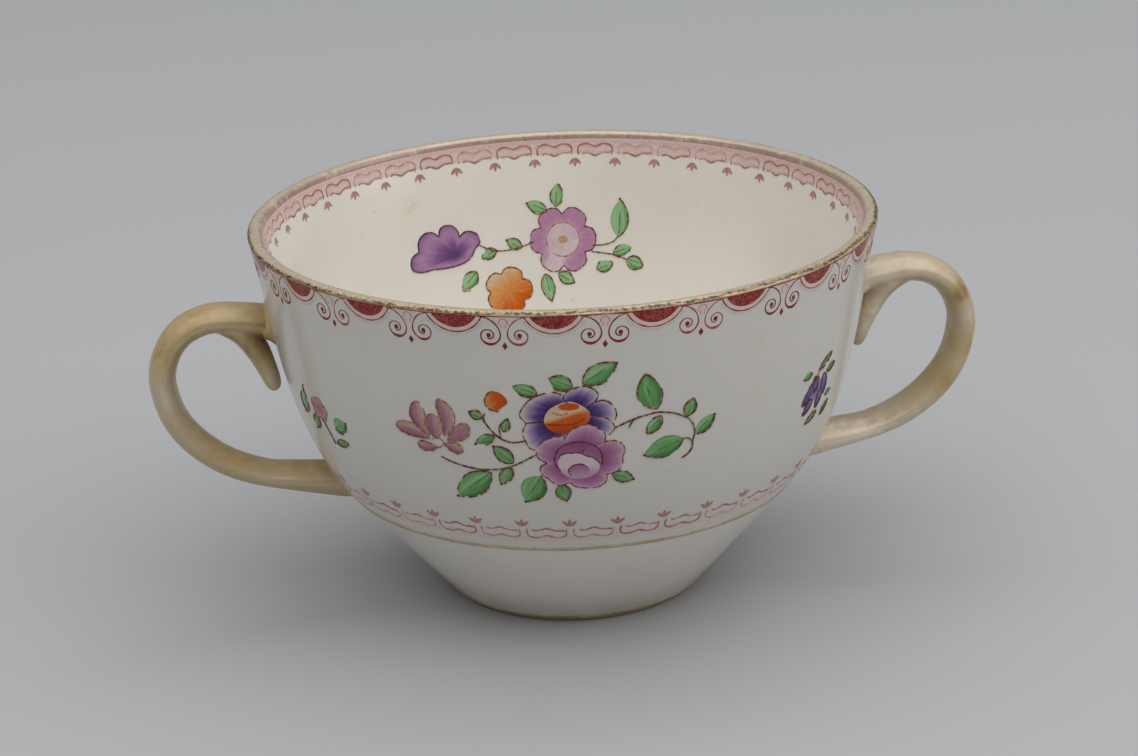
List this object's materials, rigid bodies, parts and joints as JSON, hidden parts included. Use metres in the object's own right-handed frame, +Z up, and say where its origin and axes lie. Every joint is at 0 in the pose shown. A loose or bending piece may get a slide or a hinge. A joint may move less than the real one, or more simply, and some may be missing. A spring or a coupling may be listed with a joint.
{
  "type": "two-handled bouillon cup",
  "caption": "Wide white glazed bouillon cup with loop handles at opposite sides, a conical base on a small foot, gilt lines and painted flower sprays; holds soup or a hot drink.",
  "frame": {"origin": "on the cup's axis, at the underside of the foot", "axes": "+Z up along the cup's axis, +X from the axis towards the right handle, +Y away from the painted front"},
  "size_m": [0.1318, 0.0982, 0.0609],
  "materials": {
    "white_glaze": "glossy glaze over white ware, with painted enamels",
    "handle_gilding": "glazed ware washed with worn ochre gold",
    "slip_clay": "fired clay slip under glaze and worn ochre gold",
    "line_gilding": "thin worn gold, satin"
  },
  "bodies": {
    "root": {"bowl": "white_glaze", "left_handle": "handle_gilding", "right_handle": "handle_gilding", "left_upper_slip": "slip_clay", "left_lower_slip": "slip_clay", "right_upper_slip": "slip_clay", "right_lower_slip": "slip_clay", "rim_gilding": "line_gilding", "front_waist_gilding": "line_gilding", "back_waist_gilding": "line_gilding", "foot_gilding": "line_gilding"}
  },
  "joints": []
}
